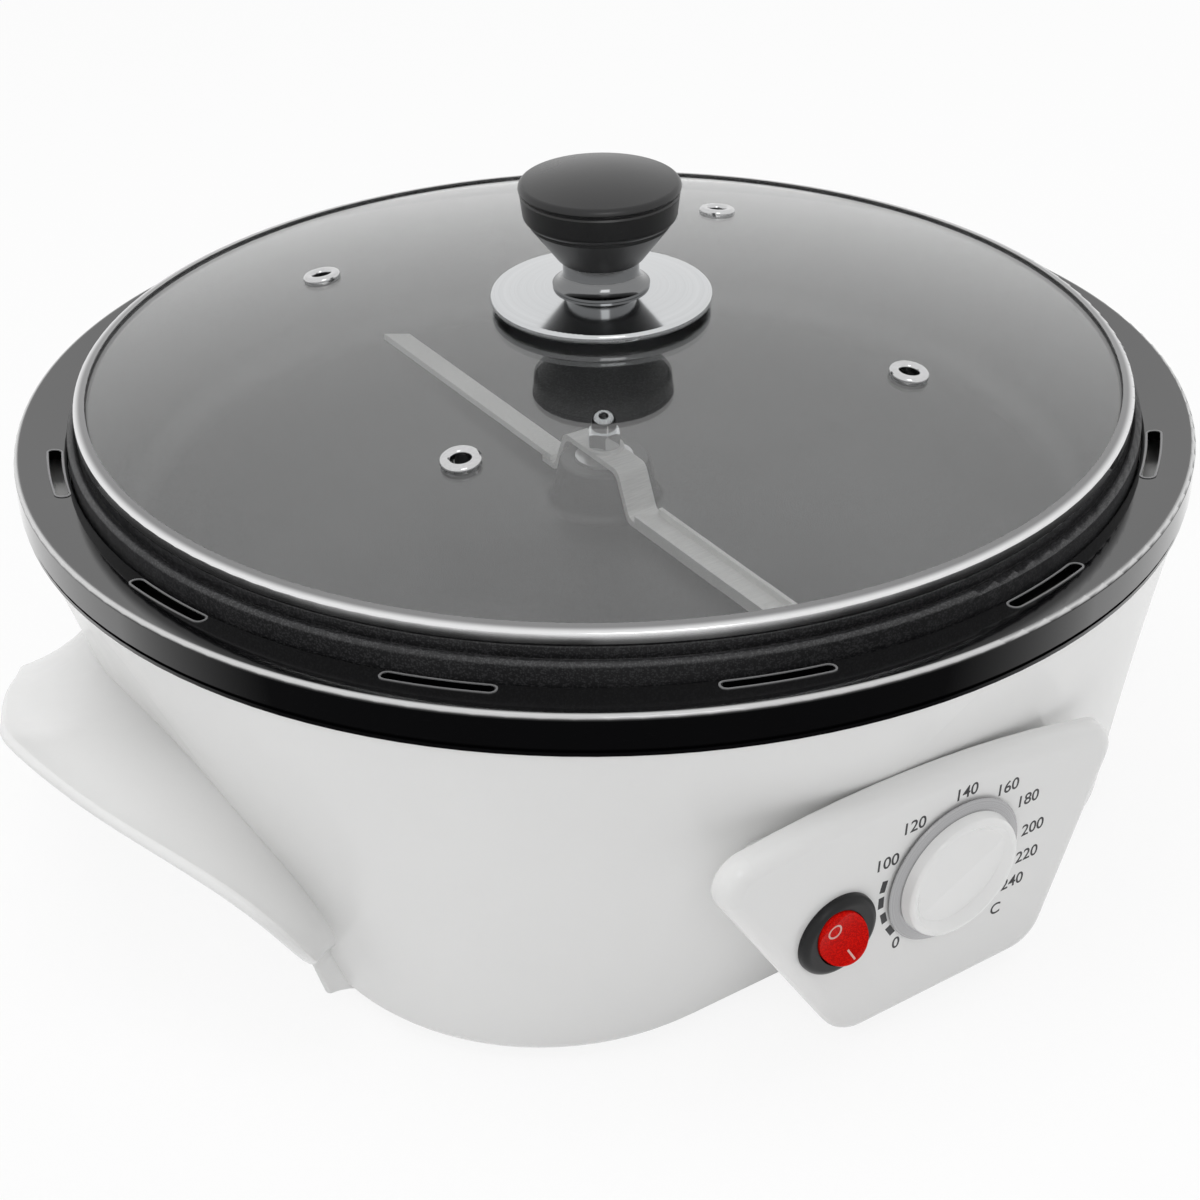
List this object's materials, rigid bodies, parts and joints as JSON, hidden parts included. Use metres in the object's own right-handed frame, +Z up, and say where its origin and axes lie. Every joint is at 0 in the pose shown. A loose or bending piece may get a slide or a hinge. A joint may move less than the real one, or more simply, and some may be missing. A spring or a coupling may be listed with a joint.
{
  "type": "coffee bean roaster",
  "caption": "Electric countertop coffee roaster: flat non-stick pan with a turning stirrer, loose glass lid, white housing, thermostat dial and red rocker switch",
  "frame": {"origin": "on the pan's axis, on the plane that the feet stand on", "axes": "+Z up along the pan's axis, +X to the right from handle to handle, +Y to the back; the controls face -Y"},
  "size_m": [0.3564, 0.314, 0.1772],
  "materials": {
    "housing_plastic": "white, slightly glossy moulding",
    "base_plastic": "white moulding, fine texture",
    "foot_rubber": "black",
    "zinc_steel": "zinc plated",
    "trim_plastic": "black, glossy",
    "pan_coating": "non-stick coating, matte, finely speckled",
    "brass": "turned",
    "heater_sheath": "oxidised sheath",
    "shield_steel": "aluminised sheet",
    "ceramic_white": "unglazed",
    "copper": "drawn copper",
    "motor_case": "galvanised sheet",
    "stirrer_steel": "satin stainless",
    "chrome": "bright",
    "skirt_metal": "satin plated",
    "knob_plastic": "white",
    "rocker_red": "translucent red",
    "lid_glass": "clear, tempered",
    "rim_steel": "polished stainless",
    "knob_black": "black phenolic, satin"
  },
  "bodies": {
    "housing": {"housing_shell": "housing_plastic", "base_plate": "base_plastic", "rubber_foot_1": "foot_rubber", "rubber_foot_2": "foot_rubber", "rubber_foot_3": "foot_rubber", "rubber_foot_4": "foot_rubber", "foot_screws": "zinc_steel", "base_screws": "zinc_steel", "tie_screws": "zinc_steel", "trim_ring": "trim_plastic", "pan": "pan_coating", "shaft_bush": "zinc_steel", "pan_studs": "zinc_steel", "stud_nuts": "zinc_steel", "heating_element": "heater_sheath", "heater_clamps": "zinc_steel", "heat_shield": "shield_steel", "thermal_cutout": "ceramic_white", "thermostat_bulb": "copper", "capillary_tube": "copper", "motor_bracket": "shield_steel", "gear_motor": "motor_case", "motor_screws": "zinc_steel", "bracket_screws": "zinc_steel", "thermostat_body": "motor_case", "thermostat_screws": "zinc_steel", "switch_housing": "trim_plastic", "switch_terminals": "brass", "terminal_block": "ceramic_white", "block_screws": "zinc_steel", "cord_gland": "foot_rubber"},
    "stirrer_drive": {"motor_shaft": "zinc_steel", "drive_coupling": "zinc_steel", "grub_screws": "zinc_steel", "drive_shaft": "stirrer_steel", "stirrer": "stirrer_steel", "stirrer_washer": "stirrer_steel", "acorn_nut": "chrome"},
    "thermostat_dial": {"thermostat_spindle": "zinc_steel", "knob_skirt": "skirt_metal", "thermostat_knob": "knob_plastic"},
    "power_rocker": {"switch_rocker": "rocker_red"},
    "lid": {"lid_glass": "lid_glass", "lid_rim": "rim_steel", "vent_eyelet_1": "rim_steel", "vent_eyelet_2": "rim_steel", "vent_eyelet_3": "rim_steel", "vent_eyelet_4": "rim_steel", "knob_disc": "chrome", "knob_neck": "chrome", "lid_knob": "knob_black", "lid_gasket": "foot_rubber", "lid_washer": "zinc_steel", "lid_screw": "zinc_steel"}
  },
  "joints": [
    {"name": "lid_lift", "type": "slide", "parent": "housing", "child": "lid", "axis": [0, 0, 1], "range_m": [0, 0.12]},
    {"name": "stirrer_turn", "type": "hinge", "parent": "housing", "child": "stirrer_drive", "pos_m": [0, 0, 0.095], "axis": [0, 0, 1], "continuous": true},
    {"name": "thermostat_turn", "type": "hinge", "parent": "housing", "child": "thermostat_dial", "pos_m": [-0.0022, -0.1482, 0.04534], "axis": [0, 0.9962, 0.0872], "range_deg": [0, 240]},
    {"name": "rocker_press", "type": "hinge", "parent": "housing", "child": "power_rocker", "pos_m": [-0.038, -0.14533, 0.04228], "axis": [0.8746, -0.0423, 0.483], "range_deg": [0, 18]}
  ]
}
